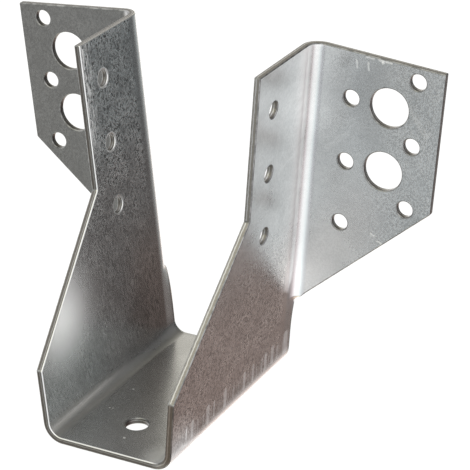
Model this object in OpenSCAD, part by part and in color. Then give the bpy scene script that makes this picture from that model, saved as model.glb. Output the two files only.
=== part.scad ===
// Joist hanger, folded from one blank of zinc-coated steel sheet.
// Frame: X across the joist, Y towards the header, Z up.
// Origin: underside of the seat, in the middle of the hanger's width and depth.
// The modules below measure Y from the header face, and hanger() moves the whole to that origin.

/* [Sheet] */
// Thickness of the sheet
sheet = 2; // [1.5:0.1:3]
// Inner radius of every fold
fold_r = 4; // [2:0.5:5]
// Angle by which each wall leans outwards from upright, in degrees
lean = 5; // [0:0.5:8]

/* [Seat] */
// Clear width between the walls at the seat, for the joist
seat_w = 38.5; // [34:0.5:100]
// Depth of the seat, from the header face to its front edge
seat_d = 75; // [60:0.5:100]
// How far the rear edges of the seat and the lower walls stand in front of the header face
rear_gap = 1.5; // [0.5:0.1:2.5]
// Diameter of the hole in the seat
seat_hole_d = 7; // [4:0.5:12]
// Distance of the seat hole from the front edge
seat_hole_front = 17; // [10:0.5:30]

/* [Walls] */
// Height of the hanger, from the underside of the seat up the wall to the top edge
height = 108; // [100:1:160]
// Depth of the walls at the top, from the header face
wall_top_d = 35.5; // [30:0.5:50]
// Length of the upright front edge at the top of each wall
wall_front_h = 44.5; // [30:0.5:60]
// Height at which the sloping front edge of the wall reaches the front of the seat
wall_toe_z = 23; // [12:0.5:30]

/* [Flanges] */
// Width of each flange, from the outer face of its wall
flange_w = 41; // [39:0.5:60]
// Length of the upright outer edge of the flange
flange_side_h = 44; // [40:0.5:60]
// Height at which the sloping lower edge of the flange reaches the outer face of the wall
flange_toe_z = 22.5; // [20:0.5:30]
// Height over which the fold fades into the flat wall, below the foot of the flange
fade_h = 11; // [8:0.5:12]
// Height over which the fold becomes full, above the foot of the flange
fade_rise = 2; // [1:0.5:4]
// Share of the full bend at the foot of the flange
fade_share = 0.42; // [0.2:0.02:0.8]

/* [Nail holes] */
// Diameter of every nail hole
nail_d = 5; // [3:0.5:6]
// Distance between neighbouring holes of one column
pitch = 20; // [16:0.5:21]
// Distance of the outer nail column from the outer edge of the flange
nail_outer_edge = 8; // [6:0.5:9]
// Distance of the inner nail column from the outer edge of the flange
nail_inner_edge = 28; // [27:0.5:30]
// Distance of the highest flange nail from the top edge
flange_nail_top = 4.5; // [4:0.5:8]
// Distance of the wall nails from the upright front edge of the wall
wall_nail_front = 10; // [6:0.5:14]
// Distance of the highest wall nail from the top edge
wall_nail_top = 13; // [6:0.5:16]

/* [Bolt holes] */
// Diameter of the bolt holes
bolt_d = 12; // [6:0.5:13]
// Distance of the bolt column from the outer edge of the flange
bolt_edge = 16; // [15:0.5:18]

/* [Hidden] */

steel = "silver";
round_fn = 96;
nails_per_column = 3;
bolts_per_flange = 2;
fade_rows = 8;
rise_rows = 4;
fade_columns = 6;
fade_thinning = 0.08; // on each face, where the fading fold stretches the sheet
seam = 0.01; // how far flat sheet runs onto a fold, stands proud of it and overlaps the fade
degrees = 180 / PI;

// Radii of a fold on its outer side and at mid-thickness
fold_o = fold_r + sheet;
fold_mid = fold_r + sheet / 2;

// Faces of one wall and the edge of its flange, before the wall leans
wall_in = seat_w / 2;
wall_out = wall_in + sheet;
flange_edge = wall_out + flange_w;

// Width of the flat seat, as far as the folds
seat_flat = seat_w - 2 * fold_r + 2 * seam;

// Corners where the sloping edges begin
wall_corner_z = height - wall_front_h;
flange_corner_z = height - flange_side_h;

// Flange holes: the outer nails start half a pitch above the inner nails and the bolts
outer_row_z = height - flange_nail_top;
inner_row_z = outer_row_z - pitch / 2;

// The strip of wall behind the flange fold is flat below fade_low_z and bent in full above
// fade_top_z. At foot_z, between them, the slope of the flange meets the strip's rear edge.
strip = fold_o - rear_gap;
flange_slope = (flange_corner_z - flange_toe_z) / flange_w;
foot_z = flange_toe_z + flange_slope * (fold_r - fold_mid * cos(strip / fold_mid * degrees));
fade_low_z = foot_z - fade_h;
fade_top_z = foot_z + fade_rise;

// Through hole along Y in a flange, centred at x, z
module flange_hole(x, z, d) {
    translate([x, -sheet / 2, z]) rotate([90, 0, 0])
        cylinder(d = d, h = 2 * sheet, center = true, $fn = round_fn);
}

// Column of holes, one pitch apart, down from the height z
module flange_column(from_edge, z, d, count) {
    for (i = [0:count - 1]) flange_hole(flange_edge - from_edge, z - i * pitch, d);
}

// Section of the sheet turned through a full circle, of which each fold takes a part
module fold_ring() {
    difference() {
        circle(r = fold_o - seam, $fn = round_fn);
        circle(r = fold_r + seam, $fn = round_fn);
    }
}

// Column of nail holes through a wall
module wall_nails() {
    for (i = [0:nails_per_column - 1])
        translate([wall_in + sheet / 2, wall_nail_front - wall_top_d,
                   height - wall_nail_top - i * pitch])
            rotate([0, 90, 0])
                cylinder(d = nail_d, h = 2 * sheet, center = true, $fn = round_fn);
}

// Flat wall, as far back as the flange fold, and back to its own rear edge below the fade
module wall() {
    side_view = [
        [-seat_d, fold_o], [-seat_d, wall_toe_z], [-wall_top_d, wall_corner_z],
        [-wall_top_d, height], [seam - fold_o, height], [seam - fold_o, fade_low_z + seam],
        [-rear_gap, fade_low_z + seam], [-rear_gap, fold_o]
    ];
    translate([wall_in, 0, 0]) rotate([90, 0, 90])
        linear_extrude(sheet) polygon(side_view);
}

// Distance of the flange's slope from the outer face of the wall, at the height z
function slope_out(z) = (z - flange_toe_z) / flange_slope;

// Flange with its fold: the section seen from above, cut to the outline seen from the front
module flange() {
    front_view = [
        [wall_in, height], [flange_edge, height], [flange_edge, flange_corner_z],
        [wall_out + slope_out(fade_top_z), fade_top_z - seam], [wall_in, fade_top_z - seam]
    ];
    intersection() {
        linear_extrude(height) {
            translate([wall_out + fold_r, -fold_o]) intersection() {
                fold_ring();
                translate([-fold_o, 0]) square(fold_o);
            }
            translate([wall_out + fold_r - seam, -sheet])
                square([flange_w - fold_r + seam, sheet]);
        }
        rotate([90, 0, 0]) linear_extrude(fold_o) polygon(front_view);
    }
}

function smooth(t) = t * t * (3 - 2 * t);

// Share of the full bend at the height z: slow to grow below the foot, and quick above it
function bend_share(z) = z < foot_z
    ? fade_share * pow((z - fade_low_z) / fade_h, 2)
    : fade_share + (1 - fade_share) * smooth((z - foot_z) / fade_rise);

// Width of the fading strip, which the slope of the flange cuts above the foot
function strip_width(z) = z <= foot_z
    ? strip
    : fold_mid * acos((fold_r - slope_out(z)) / fold_mid) / degrees;

// Point of the fading strip at u along its width: side +1 is the face that turns towards the
// joist, and side -1 the outer face
function fade_point(u, side, z) =
    let (share = bend_share(z), half = sheet / 2 - fade_thinning)
    share == 0
    ? [wall_in + sheet / 2 - side * half, u - fold_o, z]
    : let (bend_r = fold_mid / share, turn = u / bend_r * degrees, reach = bend_r + side * half)
      [wall_in + sheet / 2 + bend_r - reach * cos(turn), reach * sin(turn) - fold_o, z];

// Strip of wall below the flange fold, in rings that bend more and more on the way up
module fade() {
    heights = concat([for (k = [0:fade_rows]) fade_low_z + fade_h * k / fade_rows],
                     [for (k = [1:rise_rows]) foot_z + fade_rise * k / rise_rows]);
    ring_size = 2 * (fade_columns + 1);
    last = len(heights) - 1;
    points = [for (z = heights) for (side = [1, -1]) for (j = [0:fade_columns])
        fade_point(strip_width(z) * (side > 0 ? j : fade_columns - j) / fade_columns, side, z)];
    sides = [for (k = [0:last - 1]) for (j = [0:ring_size - 1])
        let (a = k * ring_size + j, b = k * ring_size + (j + 1) % ring_size)
        for (f = [[a, b, a + ring_size], [b, b + ring_size, a + ring_size]]) f];
    ends = [for (k = [0, last]) for (j = [0:fade_columns - 1])
        let (a = k * ring_size + j, b = a + 1,
             c = (k + 1) * ring_size - 2 - j, d = c + 1)
        for (f = k == 0 ? [[a, c, b], [a, d, c]] : [[a, b, c], [a, c, d]]) f];
    polyhedron(points, concat(sides, ends), convexity = 4);
}

// Turns a wall and its flange outwards about the centre of the seat fold
module leaning() {
    centre = [wall_in - fold_r, 0, fold_o];
    translate(centre) rotate([0, lean, 0]) translate(-centre) children();
}

// Fold between the seat and one wall, which ends just inside the foot of the leaning wall
module seat_fold() {
    intersection() {
        translate([wall_in - fold_r, -rear_gap - seam, fold_o]) rotate([90, 0, 0])
            linear_extrude(seat_d - rear_gap - 2 * seam) intersection() {
                fold_ring();
                translate([0, -fold_o]) square([fold_o, fold_o + seam]);
            }
        leaning() translate([wall_in - 2 * fold_o, -seat_d - sheet, -fold_o])
            cube([4 * fold_o, seat_d + sheet, 2 * fold_o + seam]);
    }
}

module side() {
    leaning() difference() {
        union() {
            wall();
            flange();
            fade();
        }
        wall_nails();
        flange_column(nail_outer_edge, outer_row_z, nail_d, nails_per_column);
        flange_column(nail_inner_edge, inner_row_z, nail_d, nails_per_column);
        flange_column(bolt_edge, inner_row_z, bolt_d, bolts_per_flange);
    }
    seat_fold();
}

module seat() {
    difference() {
        translate([-seat_flat / 2, -seat_d, 0]) cube([seat_flat, seat_d - rear_gap, sheet]);
        translate([0, seat_hole_front - seat_d, sheet / 2])
            cylinder(d = seat_hole_d, h = 2 * sheet, center = true, $fn = round_fn);
    }
}

module hanger() {
    color(steel) translate([0, seat_d / 2, 0]) {
        seat();
        side();
        mirror([1, 0, 0]) side();
    }
}

hanger();
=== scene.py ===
# %% [markdown]
# # A joist hanger, folded from one blank of galvanised sheet
#
# A joist hanger is a steel shoe that carries the end of a timber joist. A press punches the flat
# blank and folds it four times: twice beside the seat, so that the walls stand up, and once at
# the rear of each wall, so that the flanges turn outwards. This lesson goes the same way. It
# draws the blank, punches it, gives it thickness and rounded edges, and only then folds it.
#
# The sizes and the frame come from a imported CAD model: metres, X across the joist, Y towards the
# header beam, Z up, and the origin under the middle of the seat.

# %% Load the frame
import math

import bmesh
import bpy
from mathutils import Matrix, Vector


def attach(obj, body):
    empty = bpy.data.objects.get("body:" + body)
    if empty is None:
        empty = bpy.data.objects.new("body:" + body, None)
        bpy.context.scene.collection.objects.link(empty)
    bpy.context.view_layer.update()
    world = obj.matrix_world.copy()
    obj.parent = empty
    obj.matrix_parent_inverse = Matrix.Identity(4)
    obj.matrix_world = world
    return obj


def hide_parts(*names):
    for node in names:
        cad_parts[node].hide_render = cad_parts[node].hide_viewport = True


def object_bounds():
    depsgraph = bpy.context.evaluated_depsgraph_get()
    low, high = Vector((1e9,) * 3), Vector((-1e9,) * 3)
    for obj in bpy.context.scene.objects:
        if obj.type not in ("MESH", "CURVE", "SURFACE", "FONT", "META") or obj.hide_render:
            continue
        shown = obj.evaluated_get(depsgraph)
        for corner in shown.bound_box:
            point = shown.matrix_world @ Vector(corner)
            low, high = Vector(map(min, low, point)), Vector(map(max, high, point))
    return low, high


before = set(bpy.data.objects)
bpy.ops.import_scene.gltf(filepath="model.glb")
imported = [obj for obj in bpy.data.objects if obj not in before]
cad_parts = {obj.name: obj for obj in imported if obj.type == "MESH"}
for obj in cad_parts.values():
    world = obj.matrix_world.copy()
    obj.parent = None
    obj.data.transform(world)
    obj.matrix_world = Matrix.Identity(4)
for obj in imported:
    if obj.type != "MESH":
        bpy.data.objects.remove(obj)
cad_bounds = [list(corner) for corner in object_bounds()]
scene = bpy.context.scene
print("CAD box in mm:", [[round(c * 1000, 2) for c in corner] for corner in cad_bounds])

# %% [markdown]
# ## Sizes
#
# A folded part is known by a handful of sizes. The sheet and the radius of its folds come first,
# then the width and depth of the seat, then the outlines of the walls and the flanges. All are
# the sizes of the CAD model, so the dressed piece and the solid are the same part.

# %% Sizes of the sheet, the seat, the walls and the flanges
MM = 0.001
sheet = 2 * MM
fold_r = 4 * MM
lean = math.radians(5)
seat_w = 38.5 * MM
seat_d = 75 * MM
rear_gap = 1.5 * MM
height = 108 * MM
wall_top_d = 35.5 * MM
wall_front_h = 44.5 * MM
wall_toe_z = 23 * MM
flange_w = 41 * MM
flange_side_h = 44 * MM
flange_toe_z = 22.5 * MM
fade_h = 11 * MM
fade_rise = 2 * MM
fade_share = 0.42

# %% Sizes of the holes
nail_d = 5 * MM
bolt_d = 12 * MM
seat_hole_d = 7 * MM
pitch = 20 * MM
nail_outer_edge = 8 * MM
nail_inner_edge = 28 * MM
bolt_edge = 16 * MM
flange_nail_top = 4.5 * MM
wall_nail_front = 10 * MM
wall_nail_top = 13 * MM
seat_hole_front = 17 * MM
nails_in_column = 3
bolts_in_column = 2
nail_corners = 48
bolt_corners = 80

# %% [markdown]
# ## The camera
#
# The camera stands to the right of the hanger and above it, far enough away for a long lens, so
# that the two walls look nearly parallel. It is turned by a little under a degree, as a camera
# in the hand is. Drawing first through the final camera shows which details matter.

# %% Camera
camera_place = Vector((287.8, -487.5, 319.8)) * MM
camera_target = Vector((14.03, 15.55, 50.78)) * MM
camera_roll = math.radians(-0.91)
camera_data = bpy.data.cameras.new("camera")
camera_data.lens = 165.3
camera_data.sensor_width = 36.0
camera_data.clip_start = 0.05
camera_data.clip_end = 20.0
camera = bpy.data.objects.new("camera", camera_data)
aim = (camera_target - camera_place).to_track_quat("-Z", "Y").to_matrix().to_4x4()
roll = Matrix.Rotation(camera_roll, 4, "Z")
camera.matrix_world = Matrix.Translation(camera_place) @ aim @ roll
scene.collection.objects.link(camera)
scene.camera = camera
print("camera distance in mm:", round((camera_target - camera_place).length / MM))

# %% [markdown]
# ## A helper for node trees
#
# Blender builds shaders and Geometry Nodes from the same kind of nodes. Written by hand, a sum
# takes four lines. This class wraps one socket and overloads the arithmetic operators, so that a
# formula reads as a formula and adds its Math nodes by itself. Every other node comes from one
# method, `add`, which takes the node's type, its settings and what its sockets get. `between` and
# `within` draw the soft masks that place every pattern and mark.

# %% The socket wrapper
class Wire:
    """One output socket of a node tree, which adds Math nodes when it is used in a formula."""

    def __init__(self, tree, socket=None):
        self.tree, self.socket = tree, socket

    def __getitem__(self, name):
        return Wire(self.tree, self.socket.node.outputs[name])

    def add(self, kind, settings=None, sockets=None, output=0):
        """A new node with these settings and sockets. It gives one output of the node."""
        node = self.tree.nodes.new(kind)
        for name, value in (settings or {}).items():
            setattr(node, name, value)
        for name, value in (sockets or {}).items():
            if isinstance(value, Wire):
                self.tree.links.new(value.socket, node.inputs[name])
            else:
                node.inputs[name].default_value = value
        return Wire(self.tree, node.outputs[output])

    def math(self, operation, *values):
        return self.add("ShaderNodeMath", {"operation": operation}, dict(enumerate(values)))

    def vector(self, operation, *values):
        return self.add("ShaderNodeVectorMath", {"operation": operation}, dict(enumerate(values)))

    def times(self, vector):
        """A vector, scaled by this number."""
        return self.add("ShaderNodeVectorMath", {"operation": "SCALE"}, {0: vector, "Scale": self})

    def __add__(self, other):
        return self.math("ADD", self, other)

    def __radd__(self, other):
        return self.math("ADD", other, self)

    def __sub__(self, other):
        return self.math("SUBTRACT", self, other)

    def __rsub__(self, other):
        return self.math("SUBTRACT", other, self)

    def __mul__(self, other):
        return self.math("MULTIPLY", self, other)

    def __rmul__(self, other):
        return self.math("MULTIPLY", other, self)

    def __truediv__(self, other):
        return self.math("DIVIDE", self, other)

    def __rtruediv__(self, other):
        return self.math("DIVIDE", other, self)

    def __neg__(self):
        return self.math("MULTIPLY", self, -1.0)

    def __abs__(self):
        return self.math("ABSOLUTE", self)

    def least(self, other):
        return self.math("MINIMUM", self, other)

    def most(self, other):
        return self.math("MAXIMUM", self, other)

    def between(self, low, high):
        """0 below low, 1 above high and a smooth rise between them."""
        return self.add("ShaderNodeMapRange", {"interpolation_type": "SMOOTHSTEP"},
                        {"Value": self, "From Min": low, "From Max": high})

    def within(self, start, full, fade, end):
        """1 from full to fade, 0 before start and after end, and smooth between."""
        return self.between(start, full) * (1 - self.between(fade, end))

# %% [markdown]
# ## Running a Geometry Nodes tree
#
# A tree is a rule with named inputs. The modifier holds their values under each socket's
# identifier, not under its name. Once the modifier has run, the result is baked to a plain mesh
# and the modifier is gone, so nothing of the rule is left to be evaluated again.

# %% Tree helpers
def new_rule(name, inputs):
    """A Geometry Nodes tree with a mesh in, a mesh out and the named number inputs."""
    tree = bpy.data.node_groups.new(name, "GeometryNodeTree")
    tree.interface.new_socket("Sheet", in_out="INPUT", socket_type="NodeSocketGeometry")
    for label in inputs:
        tree.interface.new_socket(label, in_out="INPUT", socket_type="NodeSocketFloat")
    tree.interface.new_socket("Sheet", in_out="OUTPUT", socket_type="NodeSocketGeometry")
    entry = tree.nodes.new("NodeGroupInput")
    return tree, {socket.name: Wire(tree, socket) for socket in entry.outputs if socket.name}


def end_rule(result, *finishes):
    """Ends a tree as every tree here ends, in plain geometry, with each slot's finish set."""
    done = result.add("GeometryNodeRealizeInstances", None, {"Geometry": result})
    slot = result.add("GeometryNodeInputMaterialIndex")
    for place, finish in enumerate(finishes):
        chosen = slot.add("FunctionNodeCompare", {"data_type": "INT", "operation": "EQUAL"},
                          {2: slot, 3: place})
        done = done.add("GeometryNodeSetMaterial", None,
                        {"Geometry": done, "Selection": chosen, "Material": finish})
    done.tree.links.new(done.socket, done.tree.nodes.new("NodeGroupOutput").inputs[0])


def baked(piece):
    """Swaps a piece's mesh for the plain result of its modifiers, and removes them."""
    evaluated = piece.evaluated_get(bpy.context.evaluated_depsgraph_get())
    mesh = bpy.data.meshes.new_from_object(evaluated)
    piece.modifiers.clear()
    piece.data = mesh
    return mesh


def run_rule(piece, tree, values):
    """Runs a tree on a piece, with its inputs by name, and bakes the result."""
    modifier = piece.modifiers.new(tree.name, "NODES")
    modifier.node_group = tree
    for socket in tree.interface.items_tree:
        if socket.in_out == "INPUT" and socket.name in values:
            modifier[socket.identifier] = values[socket.name]
    return baked(piece)

# %% [markdown]
# ## Unrolling the part
#
# A fold neither stretches nor shrinks the sheet at mid-thickness, so a length measured there is
# the same on the flat blank and on the folded part. On the blank, X runs from the middle of the
# seat up the wall, and Y runs from the front of the seat to the rear and on round the flange
# fold. Y is nought where the flange fold begins.

# %% Lengths on the flat blank
fold_o = fold_r + sheet
fold_mid = fold_r + sheet / 2
seat_fold_x = seat_w / 2 - fold_r
wall_x = seat_fold_x + fold_mid * (math.pi / 2 - lean)
flange_y = fold_mid * math.pi / 2
flange_edge_y = flange_y + flange_w - fold_r
front_y = fold_o - seat_d
rear_y = fold_o - rear_gap


def up_wall(z):
    """Place on the blank of the height z, measured along the leaning wall."""
    return wall_x + z - fold_o


print("blank in mm:", round(2 * up_wall(height) / MM, 1), "x",
      round((flange_edge_y - front_y) / MM, 1))

# %% [markdown]
# ## The outline of the blank
#
# The walls slope from the deep seat to their narrow tops, and the flanges slope back to the
# wall. A slope that crosses a fold is straight on the folded flange, so on the blank it becomes
# a short curve. Half of the outline is drawn, and the other half mirrors it.

# %% Outline
flange_slope = (height - flange_side_h - flange_toe_z) / flange_w


def slope_at(turned):
    """Point of the blank where the flange's lower slope crosses the fold, turned so far."""
    out = fold_r - fold_mid * math.cos(turned)
    return up_wall(flange_toe_z + flange_slope * out), fold_mid * turned


strip_turn = rear_y / fold_mid
foot_x = slope_at(strip_turn)[0]
fade_low_x = foot_x - fade_h
fade_top_x = foot_x + fade_rise
slope_steps = 12
slope_curve = [slope_at(math.pi / 2 + (strip_turn - math.pi / 2) * k / slope_steps)
               for k in range(slope_steps + 1)]
half_outline = [
    (up_wall(wall_toe_z), front_y),
    (up_wall(height - wall_front_h), fold_o - wall_top_d),
    (up_wall(height), fold_o - wall_top_d),
    (up_wall(height), flange_edge_y),
    (up_wall(height - flange_side_h), flange_edge_y),
    *slope_curve,
    (fade_low_x, rear_y),
]
outline = half_outline + [(-x, y) for x, y in reversed(half_outline)]

# %% [markdown]
# ## Punching the blank
#
# Nail holes and bolt holes repeat in columns, one pitch apart, so they are a natural job for
# Geometry Nodes. One line of points is one column, and a circle is placed on each point. The
# same columns, mirrored, serve the other side. Filling the outline and all circles together
# leaves the holes open. The alternative, cutting each hole with a Boolean, is slower and leaves
# a rougher mesh.

# %% The punching rule
def punching_rule(finish):
    tree, size = new_rule("punch", ["Pitch", "Nail", "Bolt", "Seat hole", "Seat hole place",
                                    "Top", "Flange edge", "Wall front"])
    start = size["Pitch"]
    nail = (size["Nail"], nail_corners)
    bolt = (size["Bolt"], bolt_corners)
    top_row = size["Top"] - flange_nail_top
    inner_row = top_row - size["Pitch"] / 2

    def column(x, y, punch_size, count):
        """Holes of one size, which is a diameter and a number of corners, down from a place."""
        diameter, sides = punch_size
        first = start.add("ShaderNodeCombineXYZ", None, {"X": x, "Y": y})
        step = start.add("ShaderNodeCombineXYZ", None, {"X": -size["Pitch"]})
        points = start.add("GeometryNodeMeshLine", {"mode": "OFFSET"},
                           {"Count": count, "Start Location": first, "Offset": step})
        punch = start.add("GeometryNodeCurvePrimitiveCircle", {"mode": "RADIUS"},
                          {"Resolution": sides, "Radius": diameter / 2})
        return start.add("GeometryNodeInstanceOnPoints", None,
                         {"Points": points, "Instance": punch})

    columns = [
        column(top_row, size["Flange edge"] - nail_outer_edge, nail, nails_in_column),
        column(inner_row, size["Flange edge"] - nail_inner_edge, nail, nails_in_column),
        column(inner_row, size["Flange edge"] - bolt_edge, bolt, bolts_in_column),
        column(size["Top"] - wall_nail_top, size["Wall front"] + wall_nail_front, nail,
               nails_in_column),
    ]
    one_side = start.add("GeometryNodeJoinGeometry")
    for punched in reversed(columns):
        tree.links.new(punched.socket, one_side.socket.node.inputs[0])
    other_side = start.add("GeometryNodeTransform", None,
                           {"Geometry": one_side, "Scale": (-1, 1, 1)})
    seat_hole = column(0.0, size["Seat hole place"], (size["Seat hole"], bolt_corners), 1)
    blank = start.add("GeometryNodeMeshToCurve", None, {"Mesh": size["Sheet"]})
    loops = start.add("GeometryNodeJoinGeometry")
    for part in (one_side, other_side, seat_hole, blank):
        tree.links.new(part.socket, loops.socket.node.inputs[0])
    real = start.add("GeometryNodeRealizeInstances", None, {"Geometry": loops})
    filled = start.add("GeometryNodeFillCurve", {"mode": "NGONS"}, {"Curve": real})
    end_rule(filled, finish)
    return tree

# %% Punch
galvanised = bpy.data.materials.new("galvanised_sheet")
sheared = bpy.data.materials.new("sheared_edge")
rubbed = bpy.data.materials.new("rubbed_edge")
blank_mesh = bpy.data.meshes.new("folded_hanger")
corners = [(x, y, 0.0) for x, y in outline]
blank_mesh.from_pydata(corners, [(k, (k + 1) % len(corners)) for k in range(len(corners))], [])
hanger = bpy.data.objects.new("folded_hanger", blank_mesh)
scene.collection.objects.link(hanger)
run_rule(hanger, punching_rule(galvanised), {
    "Pitch": pitch, "Nail": nail_d, "Bolt": bolt_d, "Seat hole": seat_hole_d,
    "Seat hole place": front_y + seat_hole_front, "Top": up_wall(height),
    "Flange edge": flange_edge_y, "Wall front": fold_o - wall_top_d})
print("punched blank:", len(hanger.data.vertices), "corners,", len(hanger.data.polygons), "faces")

# %% [markdown]
# ## Creasing
#
# A flat face can't bend. Where the sheet will fold it needs narrow strips, so the blank is cut
# along parallel lines across each fold. Below each flange the fold fades into the flat wall,
# and there the strip is cut the other way as well.

# %% Cut the fold zones into strips
fold_strips = 16
fade_strips = 12
rise_strips = 6
slack = 0.01 * MM
snap = 0.002 * MM


def crease(cloth, place, direction, behind=None):
    """Cuts the blank along one line: all of it, or only the faces behind a given Y."""
    faces = [f for f in cloth.faces
             if behind is None or min(v.co.y for v in f.verts) > behind - slack]
    edges = {e for f in faces for e in f.edges}
    verts = {v for f in faces for v in f.verts}
    bmesh.ops.bisect_plane(cloth, geom=[*verts, *edges, *faces], dist=snap,
                           plane_co=place, plane_no=direction)


blank = bmesh.new()
blank.from_mesh(hanger.data)
for side in (-1, 1):
    for k in range(fold_strips + 1):
        x = seat_fold_x + (wall_x - seat_fold_x) * k / fold_strips
        crease(blank, (side * x, 0, 0), (1, 0, 0))
for k in range(fold_strips + 1):
    crease(blank, (0, flange_y * k / fold_strips, 0), (0, 1, 0))
fade_lines = [fade_low_x + fade_h * k / fade_strips for k in range(fade_strips)]
fade_lines += [foot_x + fade_rise * k / rise_strips for k in range(rise_strips + 1)]
for side in (-1, 1):
    for x in fade_lines:
        crease(blank, (side * x, 0, 0), (1, 0, 0), behind=0.0)
bmesh.ops.recalc_face_normals(blank, faces=blank.faces)
if sum(f.normal.z * f.calc_area() for f in blank.faces) < 0:
    bmesh.ops.reverse_faces(blank, faces=blank.faces)
blank.to_mesh(hanger.data)
blank.free()
print("creased blank:", len(hanger.data.polygons), "faces")

# %% [markdown]
# ## Thickness and edges
#
# A press shears the sheet, which leaves the edges nearly square, with the upper corner drawn
# down and the lower one broken. Solidify gives the sheet its two millimetres and marks the cut
# faces with a finish of their own. Bevel rounds both corners of every edge and hole. This
# happens on the flat blank, as it does in the press, where both tools are at their most exact.

# %% Thickness and rounded edges
edge_round = 0.34 * MM
edge_angle = math.radians(40)
hanger.data.materials.clear()
for finish in (galvanised, sheared, rubbed):
    hanger.data.materials.append(finish)
thickness = hanger.modifiers.new("thickness", "SOLIDIFY")
thickness.thickness = sheet
thickness.offset = 0.0
thickness.material_offset_rim = hanger.data.materials.find(sheared.name)
rounding = hanger.modifiers.new("rounding", "BEVEL")
rounding.width = edge_round
rounding.segments = 3
rounding.limit_method = "ANGLE"
rounding.angle_limit = edge_angle
rounding.use_clamp_overlap = False
rounding.material = hanger.data.materials.find(rubbed.name)
baked(hanger)
print("solid blank:", len(hanger.data.polygons), "faces")

# %% [markdown]
# ## Folding
#
# The fold is a formula. For each point of the flat solid it says how far round each fold the
# point lies, and from that where it ends up. A point nearer the inside of a fold turns on a
# smaller radius, which keeps the thickness. Below a flange the bend radius grows until the wall
# is flat. The flat place of each point is kept as an attribute, so that the grain of the zinc
# can follow the sheet round its folds.

# %% The folding rule
def folding_rule(*finishes):
    tree, size = new_rule("fold", ["Mid radius", "Thickness", "Lean", "Seat fold", "Flange fold",
                                   "Fade low", "Foot", "Fade top", "Foot share", "Header face"])
    mid = size["Mid radius"]
    place = mid.add("GeometryNodeInputPosition")
    flat = mid.add("ShaderNodeSeparateXYZ", None, {0: place})
    kept = mid.add("GeometryNodeStoreNamedAttribute",
                   {"data_type": "FLOAT_VECTOR", "domain": "POINT"},
                   {"Geometry": size["Sheet"], "Name": "blank", "Value": place})

    along, across, above = abs(flat["X"]), flat["Y"], flat["Z"]
    slow = ((along - size["Fade low"]) / (size["Foot"] - size["Fade low"])).most(0.0).least(1.0)
    quick = along.between(size["Foot"], size["Fade top"])
    share = (size["Foot share"] * slow * slow + (1 - size["Foot share"]) * quick).most(0.001)
    bend = mid / share
    round_flange = across.most(0.0).least(size["Flange fold"]) / bend
    beyond = (across - size["Flange fold"]).most(0.0)
    out = (bend - (bend + above) * round_flange.math("COSINE", round_flange)
           + beyond * round_flange.math("SINE", round_flange))
    back = (across.least(0.0) + (bend + above) * round_flange.math("SINE", round_flange)
            - mid - size["Thickness"] / 2)

    quarter = mid * (math.pi / 2 - size["Lean"])
    round_seat = (along - size["Seat fold"]).most(0.0).least(quarter) / mid
    rise = (along - size["Seat fold"] - quarter).most(0.0)
    sine = round_seat.math("SINE", round_seat)
    cosine = round_seat.math("COSINE", round_seat)
    x = along.least(size["Seat fold"]) + (mid + out) * sine + rise * cosine
    z = mid + size["Thickness"] / 2 - (mid + out) * cosine + rise * sine
    folded = mid.add("ShaderNodeCombineXYZ", None, {
        "X": x * flat["X"].math("SIGN", flat["X"]), "Y": back + size["Header face"], "Z": z})
    bent = mid.add("GeometryNodeSetPosition", None, {"Geometry": kept, "Position": folded})
    end_rule(bent, *finishes)
    return tree


run_rule(hanger, folding_rule(galvanised, sheared, rubbed), {
    "Mid radius": fold_mid, "Thickness": sheet, "Lean": lean, "Seat fold": seat_fold_x,
    "Flange fold": flange_y, "Fade low": fade_low_x, "Foot": foot_x, "Fade top": fade_top_x,
    "Foot share": fade_share, "Header face": cad_bounds[1][1]})

# %% [markdown]
# ## Normals
#
# Smooth shading lets the folds and rounded edges catch light as curves. Weighted normals let the
# large flat faces keep theirs, so that the smoothing stays in the narrow strips beside them.

# %% Smooth the folds and keep the flats flat
hanger.data.shade_smooth()
weighting = hanger.modifiers.new("normals", "WEIGHTED_NORMAL")
weighting.weight = 100
weighting.keep_sharp = True
baked(hanger)
places = [v.co for v in hanger.data.vertices]
folded_box = [[round(end(p[k] for p in places) / MM, 2) for k in range(3)] for end in (min, max)]
print("folded box in mm:", folded_box, "with", len(hanger.data.polygons), "faces")

# %% Hand the piece to the frame
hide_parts("hanger")
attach(hanger, "root")
print("piece:", hanger.name, "on the body root")

# %% [markdown]
# ## Shader helpers
#
# All patterns are drawn on the flat blank, in millimetres, so they follow the sheet round its
# folds and every size in them is a real one. The third number is the height in the sheet's
# thickness: it tells the two faces apart.

# %% Shader helpers
def new_finish(material):
    """Clears a material's nodes and gives the wire that new ones start from."""
    material.use_nodes = True
    tree = material.node_tree
    tree.nodes.clear()
    return Wire(tree)


def stretched(coords, amounts):
    """Places multiplied axis by axis, which draws a pattern out along the smaller numbers."""
    return coords.vector("MULTIPLY", coords, amounts)


def blank_in_mm(start):
    """The place on the flat blank, in millimetres."""
    flat = start.add("ShaderNodeAttribute", {"attribute_name": "blank"})["Vector"]
    return stretched(flat, (1 / MM, 1 / MM, 1 / MM))


def axes_of(in_mm):
    """The three numbers of a place, by the names X, Y and Z."""
    return in_mm.add("ShaderNodeSeparateXYZ", None, {0: in_mm})


def noise(coords, scale, detail=2.0, roughness=0.5, distortion=0.0):
    """Smooth random shade between 0 and 1, about 0.5, with so many features a millimetre."""
    return coords.add("ShaderNodeTexNoise", {"noise_dimensions": "3D"},
                      {"Vector": coords, "Scale": scale, "Detail": detail,
                       "Roughness": roughness, "Distortion": distortion})

# %% Colour helpers
def blend_colours(factor, one, two):
    """The first colour where the factor is 0, and the second where it is 1."""
    return factor.add("ShaderNodeMix", {"data_type": "RGBA"},
                      {0: factor, 6: one, 7: two}, output=2)


def grey(level, tint=(1.0, 1.0, 1.0)):
    """A grey of this level, or a colour near it."""
    return tuple(level * share for share in tint) + (1.0,)


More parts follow.
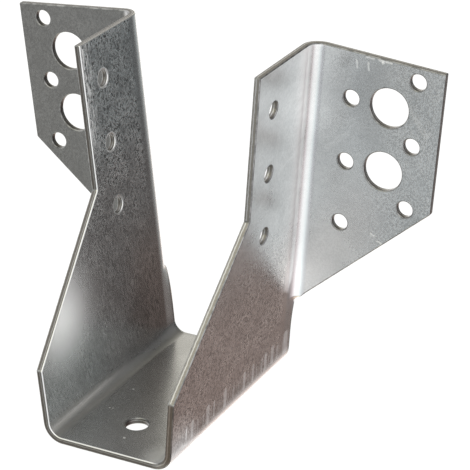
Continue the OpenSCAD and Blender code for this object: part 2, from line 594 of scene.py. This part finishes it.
def tinted(factor, colour, tint):
    """The colour, multiplied by a tint as far as the factor says."""
    return factor.add("ShaderNodeMix", {"data_type": "RGBA", "blend_type": "MULTIPLY"},
                      {0: factor, 6: colour, 7: tint + (1.0,)}, output=2)


def finish_metal(start, colour, metal, rough, relief):
    """Ends a finish in one Principled surface, with its relief given in millimetres."""
    bump = start.add("ShaderNodeBump", None, {"Strength": 1.0, "Distance": MM, "Height": relief})
    steel = start.add("ShaderNodeBsdfPrincipled", None, {
        "Base Color": colour, "Metallic": metal, "Roughness": rough, "Normal": bump})
    end = start.tree.nodes.new("ShaderNodeOutputMaterial")
    start.tree.links.new(steel.socket, end.inputs["Surface"])

# %% [markdown]
# ## Marks
#
# Every mark on the sheet is one of two kinds: a stroke, which is a line with soft ends, or a
# spot. Both are distances on the blank. The third number of a place is +1 on the face that turns
# to the joist and -1 on the outer face. The faces are 2 mm apart, so a narrow mark shows on one
# of them alone, and a wide soft spot shows on both.

# %% Strokes and spots
def stroke(in_mm, start, end, width):
    """1 on the line from start to end and 0 beyond its width, in millimetres."""
    along = Vector(end) - Vector(start)
    offset = in_mm.vector("SUBTRACT", in_mm, Vector(start))
    share = in_mm.vector("DOT_PRODUCT", offset, along / along.length_squared)["Value"]
    nearest = share.most(0).least(1).times(along)
    away = in_mm.vector("DISTANCE", offset, nearest)["Value"]
    return 1 - away.between(width * 0.25, width * 0.75)


def spot(in_mm, centre, radius, edge=0.8):
    """1 near the centre and 0 at the radius, with a soft edge over a share of the radius."""
    away = in_mm.vector("DISTANCE", in_mm, centre)["Value"]
    return 1 - away.between(radius * (1 - edge), radius)


def together(marks):
    """The strongest of several marks at each place, each with its own strength."""
    total = None
    for strength, mark in marks:
        total = mark * strength if total is None else total.most(mark * strength)
    return total


def wobbled(in_mm, scale, amount):
    """The places, shifted a little at random, so that drawn lines are not ruler-straight."""
    shift = noise(in_mm, scale, detail=2)["Color"]
    centred = in_mm.vector("SUBTRACT", shift, (0.5, 0.5, 0.5))
    return in_mm.vector("ADD", in_mm, stretched(centred, (amount, amount, 0.0)))

# %% [markdown]
# ## Scuffs of the folding die
#
# The die that folds the seat slides up the outer face of each wall and scrapes the zinc. It
# leaves short upright scuffs side by side, just above the fold, of many widths and heights.

# %% Die scuffs
scuff_foot = 23.6


def die_scuffs(in_mm):
    """Short scuffs up both walls: each has its place, its width, its top and its strength."""
    axes = axes_of(in_mm)
    both_sides = in_mm.add("ShaderNodeCombineXYZ", None,
                           {"X": abs(axes["X"]), "Y": axes["Y"], "Z": axes["Z"]})
    both_sides = wobbled(both_sides, 1.6, 0.5)
    scuffs = []
    for y, width, top, strength in (
            (-62.5, 0.6, 26.7, 0.5), (-60.4, 0.7, 28.3, 0.8), (-57.0, 1.5, 27.9, 1.0),
            (-55.2, 0.5, 26.2, 0.6), (-53.6, 0.9, 27.0, 0.5), (-50.4, 0.9, 26.7, 0.5),
            (-47.8, 2.0, 28.1, 0.9), (-45.6, 0.5, 26.5, 0.6), (-44.1, 1.0, 28.0, 0.8),
            (-41.0, 0.5, 26.1, 0.4), (-37.4, 1.9, 28.2, 0.9), (-35.4, 0.5, 26.3, 0.5),
            (-32.2, 0.9, 27.3, 0.5), (-29.0, 0.5, 26.5, 0.4), (-25.4, 1.4, 28.1, 0.9),
            (-22.8, 0.5, 26.5, 0.5), (-19.8, 1.4, 27.9, 0.9), (-17.2, 0.5, 26.3, 0.4),
            (-14.2, 1.0, 27.3, 0.7), (-11.8, 1.7, 27.9, 0.9), (-9.6, 0.5, 26.3, 0.5),
            (-7.3, 2.0, 28.1, 0.9), (-4.0, 1.3, 26.9, 0.5), (1.3, 3.0, 28.5, 1.0)):
        drawn = stroke(both_sides, (scuff_foot, y, -1), (top, y, -1), width)
        scuffs.append((strength, drawn))
    streaks = noise(stretched(in_mm, (0.35, 5.0, 1.0)), 1.0, detail=2)
    return together(scuffs) * (0.55 + 0.45 * streaks.between(0.40, 0.60))

# %% [markdown]
# ## Scratches and nicks
#
# The other marks come from handling. Scratches are light lines where the zinc is scraped, and
# nicks are small bright spots on the seat and near the edges. They are placed one by one, because
# a random scatter would put them where no hand or tool reaches.

# %% Scratches and nicks
def scratches(in_mm):
    """Light scraped lines, each with its strength, its two ends and its width, and a few nicks."""
    drawn = wobbled(in_mm, 0.9, 0.7)
    lines = [(strength, stroke(drawn, start, end, width)) for strength, start, end, width in (
        (0.9, (-123.0, -28.3, 1), (-117.5, -28.6, 1), 0.8),
        (0.8, (-112.8, -28.3, 1), (-109.2, -27.2, 1), 0.9),
        (0.8, (-105.0, -28.4, 1), (-102.2, -29.3, 1), 0.8),
        (0.6, (-110.5, -26.4, 1), (-107.0, -27.6, 1), 0.5),
        (0.5, (-99.0, -28.9, 1), (-95.5, -28.7, 1), 0.5),
        (0.5, (122.3, 17.4, -1), (120.2, 17.9, -1), 0.5),
        (0.5, (122.4, 21.0, -1), (120.0, 21.5, -1), 0.5),
        (0.5, (124.0, 20.5, -1), (123.9, 22.6, -1), 0.5),
        (0.6, (124.0, 24.4, -1), (123.9, 28.3, -1), 0.6),
        (0.6, (67.6, 29.6, -1), (66.9, 31.2, -1), 0.5),
        (0.6, (69.5, 27.2, -1), (68.9, 28.3, -1), 0.5),
        (0.14, (112.4, 34.6, -1), (104.6, 41.0, -1), 1.8),
        (0.10, (93.0, 11.0, -1), (99.0, 16.5, -1), 1.4),
        (0.10, (101.0, -20.0, -1), (111.0, -8.0, -1), 1.6),
        (0.08, (88.0, -14.0, -1), (99.0, -3.0, -1), 1.5))]
    nicks = [(0.9, spot(drawn, centre, radius)) for centre, radius in (
        ((-39.8, -68.9, 1), 0.9), ((-11.5, -34.6, 1), 0.45), ((-11.0, -47.2, 1), 0.5),
        ((0.8, -60.5, 1), 0.6), ((-12.1, -47.5, 1), 0.35), ((123.6, 25.6, -1), 0.9))]
    return together(lines + nicks)

# %% Bare spots
def bare_spots(in_mm):
    """Places on the right seat fold where the die rubbed the zinc to bright bare metal."""
    drawn = wobbled(in_mm, 0.6, 1.2)
    lines = [(strength, stroke(drawn, start, end, width)) for strength, start, end, width in (
        (1.0, (21.6, -57.5, -1), (20.8, -52.5, -1), 1.3),
        (0.8, (20.6, -51.5, -1), (20.2, -48.5, -1), 1.0),
        (0.6, (24.6, -60.6, -1), (27.2, -60.4, -1), 0.6),
        (0.5, (19.8, -46.0, -1), (19.2, -40.0, -1), 0.7),
        (0.5, (22.8, -63.0, -1), (21.8, -59.5, -1), 0.9))]
    return together(lines)

# %% Painted highlights round the wall holes
def painted_ring_highlights(in_mm):
    """A thin light ring round each nail hole of the left wall: a painted highlight of the hole's
    rim.
    """
    hole_y = (fold_o - wall_top_d + wall_nail_front) / MM
    ring_highlights = []
    for k, strength in enumerate((1.0, 0.9, 0.45)):
        hole_x = -up_wall(height - wall_nail_top - k * pitch) / MM
        away = in_mm.vector("DISTANCE", in_mm, (hole_x, hole_y, 1))["Value"]
        # Each ring is lighter and less metallic: a painted highlight of the rim.
        ring_highlights.append((strength, away.within(2.55, 2.85, 2.95, 3.3)))
    return together(ring_highlights)

# %% The scraped front of the left wall
def scraped_front(in_mm):
    """Fine upright scrapes beside the front edge of the left wall, near its top."""
    axes = axes_of(in_mm)
    streaks = noise(stretched(in_mm, (0.22, 2.6, 1.0)), 1.0, detail=2, distortion=0.4)
    beside_edge = 1 - axes["Y"].between(-28, -23)
    near_top = (-axes["X"]).between(84, 100) * axes["Z"].between(0.5, 0.9)
    return streaks.between(0.48, 0.60) * beside_edge * near_top

# %% [markdown]
# ## The zinc
#
# Sheet that is dipped in zinc and rolled shows a fine worm-like grain. The seat, which the tool
# pressed flat, and the left flange have nearly none. Smooth cloudy patches vary the tone at
# random, and painted light and shade is added to them: sheens and spots lighter or darker than the
# zinc.

# %% Grain
def zinc_grain(in_mm):
    """Fine grain about nought, drawn out up the left wall and finest on the right flange."""
    axes = axes_of(in_mm)
    left = (-axes["X"]).between(-1, 1)
    drawn_out = left * (0.7 - 0.6 * abs(axes["X"]).between(48, 90))
    finest = (1 - left) * axes["Y"].between(2, 8)
    worms = noise(stretched(in_mm, (1.4, 1.8, 1.5)), 1.0, detail=1.0, distortion=0.9)
    turned = in_mm.add("ShaderNodeVectorRotate", {"rotation_type": "Z_AXIS"},
                       {"Vector": in_mm, "Angle": math.radians(-12)})
    rolled = noise(stretched(turned, (0.55, 2.3, 1.5)), 1.0, detail=1.5, distortion=0.5)
    fine = noise(stretched(in_mm, (2.1, 2.1, 1.5)), 1.0, detail=1.0, distortion=0.7)
    mixed = worms * (1 - drawn_out) + rolled * drawn_out
    return (mixed * (1 - finest) + fine * finest).between(0.36, 0.64) - 0.5

# %% Strength of the grain
def grain_strength(in_mm):
    """How strong the grain is: weak where a tool pressed the sheet or a wall is smooth."""
    axes = axes_of(in_mm)
    left = (-axes["X"]).between(-1, 1)
    flange = axes["Y"].between(2, 8)
    smooth = spot(in_mm, (-51, -54, 1), 26, 0.7)
    on_left = 0.72 + 0.90 * abs(axes["X"]).between(48, 90)
    on_left = on_left * (1 - 0.85 * flange) * (1 - 0.95 * smooth)
    on_right = 1 - 0.76 * axes["X"].between(50, 74) * (1 - flange)
    on_right = on_right * (1 - flange * (0.80 - 0.35 * axes["Y"].between(22, 38)))
    wall_foot = wall_x / MM
    pressed = 1 - abs(axes["X"]).between(wall_foot - 3, wall_foot + 6)
    in_fold = axes["Y"].within(-4, -1, 6, 8)
    patches = noise(in_mm, 0.14, detail=3, roughness=0.6).between(0.30, 0.62)
    worn = (0.55 + 0.45 * patches) * (1 - 0.90 * pressed) * (1 - 0.85 * in_fold)
    return worn * (on_left * left + on_right * (1 - left))

# %% Clouds and painted light
def zinc_clouds_and_painted_light(in_mm):
    """Slow random changes of shade, with painted light and shade: lighter beside the flange fold
    and on the upper right wall, darker on the left flange, and lighter and darker spots.
    """
    axes = axes_of(in_mm)
    tone_and_painted_light = noise(in_mm, 0.07, detail=3, roughness=0.55) - 0.5
    feathers = noise(stretched(in_mm, (0.16, 0.09, 0.1)), 1.0, detail=1.5, distortion=2.2) - 0.5
    before_flange = 1 - axes["Y"].between(0.5, 3.0)
    # Painted highlights: the wall lighter beside its flange fold, and the fold itself at its start
    # and end.
    painted_sheen_beside_fold = axes["X"].between(60, 118) * axes["Y"].between(-20, 0) * before_flange
    painted_light_fold_start = axes["X"].between(44, 60) * axes["Y"].within(-0.5, 1.0, 2.5, 4.0)
    painted_light_fold_end = axes["X"].between(44, 60) * axes["Y"].within(2.5, 4.5, 6, 8)
    tone_and_painted_light = tone_and_painted_light + 0.9 * painted_sheen_beside_fold + painted_light_fold_start * 0.25 + painted_light_fold_end * 0.40
    # A painted sheen: the upper right wall lighter.
    painted_sheen_right_top = axes["X"].between(54, 74) * before_flange
    tone_and_painted_light = tone_and_painted_light + (0.85 + 1.3 * axes["X"].between(86, 112) + feathers * 1.1) * painted_sheen_right_top
    # Painted shade: the left flange darker, as the left wall shades it.
    painted_shade_left_flange = (-axes["X"]).between(0, 1) * axes["Y"].between(2, 6)
    tone_and_painted_light = tone_and_painted_light - 1.5 * painted_shade_left_flange
    # Spots of painted light and shade: lighter at the right flange's lower corner and the seat's
    # rear, darker at the left wall's rear.
    for strength, centre, radius in (
            (2.3, (46, 8, -1), 17), (0.9, (62, 14, -1), 16), (-0.5, (76, 36, -1), 14),
            (-1.2, (116, 14, -1), 17), (-0.6, (94, 11, -1), 13), (-0.3, (79, -20, -1), 18),
            (-1.0, (-28, -12, 1), 22), (0.3, (-36, -50, 1), 20), (1.6, (4, -10, 1), 16)):
        tone_and_painted_light = tone_and_painted_light + strength * spot(in_mm, centre, radius, 1.0)
    return tone_and_painted_light + feathers * 0.35

# %% [markdown]
# ## The galvanised finish
#
# Grain and clouds change the shade and the gloss; the clouds carry painted light and shade as
# well.
# Marks make the zinc matt and lighter, because scraped metal scatters light in all directions. A
# new coat of zinc mirrors its surroundings, and an old one is nearly white and matt, so the
# metallic share falls where the sheet was worked hard: in the scuffs and on the bare spots of the
# right seat fold. Some light and shade is painted into the colour too: a lighter, less metallic
# band along the outer faces of the seat folds is a painted reflection, a pale matt patch low on
# the left wall and a light line along its flange fold are painted highlights, and the left seat
# fold is a painted shade.

# %% Tints of the zinc and a painted reflection
def left_wall_face(axes):
    """The face of the left wall that turns to the joist."""
    return axes["Z"].between(0.5, 0.9) * (-axes["X"]).between(20, 26)


def zinc_tints(colour, axes):
    """Slightly cooler and warmer places, a few parts in a hundred from grey; the warmer place on
    the left wall is a painted reflection.
    """
    face = left_wall_face(axes)
    cool_foot = axes["X"].between(-50, -30) * (1 - axes["Y"].between(-45, -25))
    cool = (face * cool_foot).most(face * (-axes["X"]).between(75, 100))
    # A warmer, browner place on the left wall's inner face: a painted reflection.
    warm = face * axes["Y"].between(-26, -6) * axes["X"].between(-70, -45)
    outside = 1 - axes["Z"].between(-0.5, 0)
    low_right = outside * axes["X"].within(24, 30, 50, 72) * (1 - axes["Y"].between(-1, 1))
    colour = tinted(cool, colour, (0.95, 1.01, 1.03))
    colour = tinted(warm, colour, (1.06, 0.95, 0.90))
    return tinted(low_right, colour, (1.02, 0.965, 0.94))

# %% Galvanised sheet
def dress_galvanised():
    """Zinc from the patterns, the marks and the painted light and shade, each with its share of
    shade, gloss and metal.
    """
    start = new_finish(galvanised)
    in_mm = blank_in_mm(start)
    axes = axes_of(in_mm)
    grain = zinc_grain(in_mm) * grain_strength(in_mm)
    tone_and_painted_light = zinc_clouds_and_painted_light(in_mm)
    # Scuffs, scratches and scrapes are wear; the rings round the nail holes among them are painted
    # highlights.
    scraped = together([(0.65, die_scuffs(in_mm)), (0.9, scratches(in_mm)),
                        (0.75, painted_ring_highlights(in_mm)), (0.9, scraped_front(in_mm))])
    bare = bare_spots(in_mm)
    smear = spot(in_mm, (22, -66, -1), 15, 0.9)
    # A pale, less metallic patch low on the left wall's inner face: a painted highlight.
    painted_highlight_left_wall = spot(in_mm, (-50, -56, 1), 22, 1.0)
    # A light, less metallic line along the left wall's fold into its flange: a painted highlight.
    painted_fold_line_highlight = left_wall_face(axes) * axes["Y"].within(-1.0, 0.5, 3.0, 4.5)
    outside = 1 - axes["Z"].between(-0.5, 0.0)
    # A lighter, less metallic band on the outer faces of both seat folds: a painted reflection of
    # light from below.
    painted_fold_reflection = abs(axes["X"]).within(15.5, 18, 21.5, 24.5) * outside
    # The left seat fold is darker in the crease, a painted shade, and a little rougher.
    in_fold = (-axes["X"]).within(14, 17, 21, 25)

    # The shade carries the painted light and shade: the clouds, the left wall's patch and fold
    # line, and both seat folds.
    shade = (0.46 + grain * 0.5 + tone_and_painted_light * 0.165 + painted_fold_reflection * 0.22 - in_fold * 0.06
             + painted_highlight_left_wall * 0.42)
    colour = zinc_tints(blend_colours(shade, grey(0.15), grey(0.95)), axes)
    colour = blend_colours(scraped.most(painted_fold_line_highlight * 0.6), colour, grey(0.80))
    rough = (0.25 + (tone_and_painted_light * 0.05).most(-0.05).least(0.05) + grain * 0.04 + scraped * 0.20
             + smear * 0.10 + in_fold * 0.06)
    metal = (0.89 - scraped * 0.33 - smear * 0.48 - painted_fold_reflection * 0.35 - bare * 0.70 - painted_fold_line_highlight * 0.15
             - painted_highlight_left_wall * 0.42)
    finish_metal(start, colour, metal, rough, grain * 0.028)


dress_galvanised()
print("galvanised finish:", len(galvanised.node_tree.nodes), "nodes")

# %% [markdown]
# ## The cut edges
#
# A sheared edge has two zones. The punch first presses a smooth shiny band into the sheet, and
# then the rest breaks away and stays rough and dark. The rounded corners of the edges are dull,
# and a painted highlight runs along their inner corner at the left.

# %% Darker and browner stretches of the edges
def low_front(in_mm):
    """The lower front edge at the right, which is browner than the others."""
    axes = axes_of(in_mm)
    return (1 - axes["Y"].between(-68.9, -68.5)) * axes["X"].within(16, 22, 39.0, 39.8)


def left_half(in_mm):
    """All to the left of the seat's right fold, where the cut edges are darker."""
    return 1 - axes_of(in_mm)["X"].between(14, 18)

# %% Sheared edge
def dress_sheared():
    """A smooth shiny band below the upper corner, and a torn dark one below it."""
    start = new_finish(sheared)
    in_mm = blank_in_mm(start)
    torn = noise(stretched(in_mm, (3.0, 3.0, 0.6)), 1.0, detail=3)
    ragged = axes_of(in_mm)["Z"] + (noise(in_mm, 0.7, detail=3) - 0.5) * 0.5
    shiny = ragged.within(-0.02, 0.12, 0.30, 0.42)
    dark = blend_colours(torn, grey(0.17, (1.0, 0.93, 0.86)), grey(0.30, (1.0, 0.95, 0.90)))
    colour = blend_colours(shiny, dark, grey(0.46))
    colour = tinted(low_front(in_mm), colour, (0.50, 0.43, 0.38))
    colour = tinted(left_half(in_mm), colour, (0.47, 0.46, 0.45))
    finish_metal(start, colour, 0.95, 0.45 - 0.12 * shiny, torn * 0.03 + shiny * 0.04)


dress_sheared()
print("sheared finish:", len(sheared.node_tree.nodes), "nodes")

# %% Rubbed edge
def dress_rubbed():
    """The rounded corners: dull, with a painted highlight along the inner corner at the left."""
    start = new_finish(rubbed)
    in_mm = blank_in_mm(start)
    axes = axes_of(in_mm)
    wear = noise(in_mm, 0.5, detail=2)
    at_seat_hole = axes["X"].between(-12, -8) * axes["Y"].between(-68, -66)
    # A lighter, smoother, less metallic line on the inner corner at the left: a painted highlight.
    bright = axes["Z"].between(0.4, 0.7) * left_half(in_mm) * (1 - at_seat_hole)
    colour = blend_colours(wear.between(0.35, 0.65), grey(0.16), grey(0.30))
    colour = tinted(low_front(in_mm), colour, (0.45, 0.40, 0.36))
    colour = blend_colours(bright, colour, grey(0.62))
    finish_metal(start, colour, 0.97 - bright * 0.12, 0.45 - bright * 0.10, wear * 0.01)


dress_rubbed()
print("rubbed finish:", len(rubbed.node_tree.nodes), "nodes")

# %% [markdown]
# ## The table
#
# The hanger stands on a plain white table. The table glows a little by itself, so that it looks as
# white as the room, and it is hidden from reflections, so that it doesn't fill the seat's
# underside with white. From below it is clear, which leaves that side of the hanger open to view.

# %% Table
def make_table(half=3.0, glow_strength=0.94, paint_level=0.12):
    """A wide white sheet under the hanger, clear from below and hidden from reflections."""
    mesh = bpy.data.meshes.new("table")
    mesh.from_pydata([(-half, -half, 0), (half, -half, 0), (half, half, 0), (-half, half, 0)],
                     [], [(0, 1, 2, 3)])
    table = bpy.data.objects.new("table", mesh)
    scene.collection.objects.link(table)
    material = bpy.data.materials.new("table_white")
    mesh.materials.append(material)
    start = new_finish(material)
    glow = start.add("ShaderNodeEmission", None, {"Color": grey(1.0), "Strength": glow_strength})
    paint = start.add("ShaderNodeBsdfDiffuse", None, {"Color": grey(paint_level)})
    both = start.add("ShaderNodeAddShader", None, {0: glow, 1: paint})
    back = start.add("ShaderNodeNewGeometry")["Backfacing"]
    clear = start.add("ShaderNodeBsdfTransparent")
    shown = start.add("ShaderNodeMixShader", None, {0: back, 1: both, 2: clear})
    end = start.tree.nodes.new("ShaderNodeOutputMaterial")
    start.tree.links.new(shown.socket, end.inputs["Surface"])
    table.visible_glossy = False
    table.visible_diffuse = False
    table.visible_shadow = False
    return table


print("table:", make_table().name)

# %% [markdown]
# ## Light all round
#
# Bare metal shows little but what it mirrors, so the lamps matter as much as the zinc. They are
# soft patches in the world shader, each brightest in its own direction and fading with the angle
# from it. Lamp objects would do as well, but their hard outlines would show in the sheet. The sum
# of all patches is capped, so that no face burns out, from whatever side it is seen, and the
# camera itself sees plain white behind the hanger.

# %% Lamps
broad = 8.0
narrow = 60.0
darkest_place = 0.005
brightest_lamp = 1.65
studio_strength = 1.08
lamps = (  # azimuth (0 is in front, 90 at the right), elevation, tightness, colour
    ("key softbox at the right", 86, 30, broad, (2.4, 2.4, 2.4)),
    ("ceiling panel, right front", 53, 48, broad, (1.8, 1.8, 1.8)),
    ("ceiling panel at the left", -84, 44, broad, (2.4, 2.4, 2.4)),
    ("warm lamp above the front", 1, 37, broad, (1.7, 1.55, 0.80)),
    ("cool softbox, low right front", 46, -15, broad, (1.7, 2.05, 2.05)),
    ("front fill", 13, -1, broad, (0.75, 0.68, 0.80)),
    ("cool fill, left front", -51, 27, broad, (0.40, 0.48, 0.54)),
    ("fill at the left", -71, 4, broad, (0.55, 0.55, 0.55)),
    ("low softbox at the left", -91, -18, broad, (2.0, 2.0, 2.0)),
    ("window at the back left", -124, -4, broad, (1.25, 1.25, 1.25)),
    ("low light at the back left", -144, -27, broad, (1.85, 1.85, 1.85)),
    ("bounce from below", -79, -68, broad, (2.7, 2.5, 1.95)),
    ("warm bounce, low right", 79, -30, broad, (0.72, 0.55, 0.57)),
    ("warm bounce at the back", -164, -56, broad, (0.39, 0.13, 0.05)),
    ("back wall", -157, 10, broad, (0.80, 0.76, 0.62)),
    ("cool strip at the back", 164, -12, narrow, (0.08, 0.18, 0.21)),
    ("cool strip, low front", -14, -26, narrow, (0.55, 0.69, 0.76)))
print(len(lamps), "lamps")

# %% The studio
def lamp_direction(azimuth, elevation):
    """Unit vector towards a lamp, from its two angles in degrees."""
    turned = math.radians(azimuth)
    raised = math.radians(elevation)
    return Vector((math.sin(turned) * math.cos(raised), -math.cos(turned) * math.cos(raised),
                   math.sin(raised)))


def light_studio():
    """One world shader: the capped sum of all lamps, and plain white for the camera."""
    world = bpy.data.worlds.new("studio")
    scene.world = world
    world.use_nodes = True
    tree = world.node_tree
    tree.nodes.clear()
    start = Wire(tree)
    look = start.add("ShaderNodeTexCoord")["Generated"]
    light = start.add("ShaderNodeCombineXYZ", None,
                      {"X": darkest_place, "Y": darkest_place, "Z": darkest_place})
    for name, azimuth, elevation, tightness, colour in lamps:
        towards = lamp_direction(azimuth, elevation)
        spread = (look.vector("DOT_PRODUCT", look, towards)["Value"] - 1.0) * tightness
        light = light.vector("ADD", light, spread.math("EXPONENT", spread).times(colour))
        print("lamp:", name)
    light = light.vector("MINIMUM", light, (brightest_lamp, brightest_lamp, brightest_lamp))
    glow = start.add("ShaderNodeBackground", None, {"Color": light, "Strength": studio_strength})
    white = start.add("ShaderNodeBackground", None, {"Color": grey(1.0), "Strength": 1.0})
    seen = start.add("ShaderNodeLightPath")["Is Camera Ray"]
    shown = start.add("ShaderNodeMixShader", None, {0: seen, 1: glow, 2: white})
    end = tree.nodes.new("ShaderNodeOutputWorld")
    tree.links.new(shown.socket, end.inputs["Surface"])


light_studio()
scene.view_settings.view_transform = "Standard"
scene.cycles.denoising_prefilter = "NONE"  # keeps the fine grain of the zinc
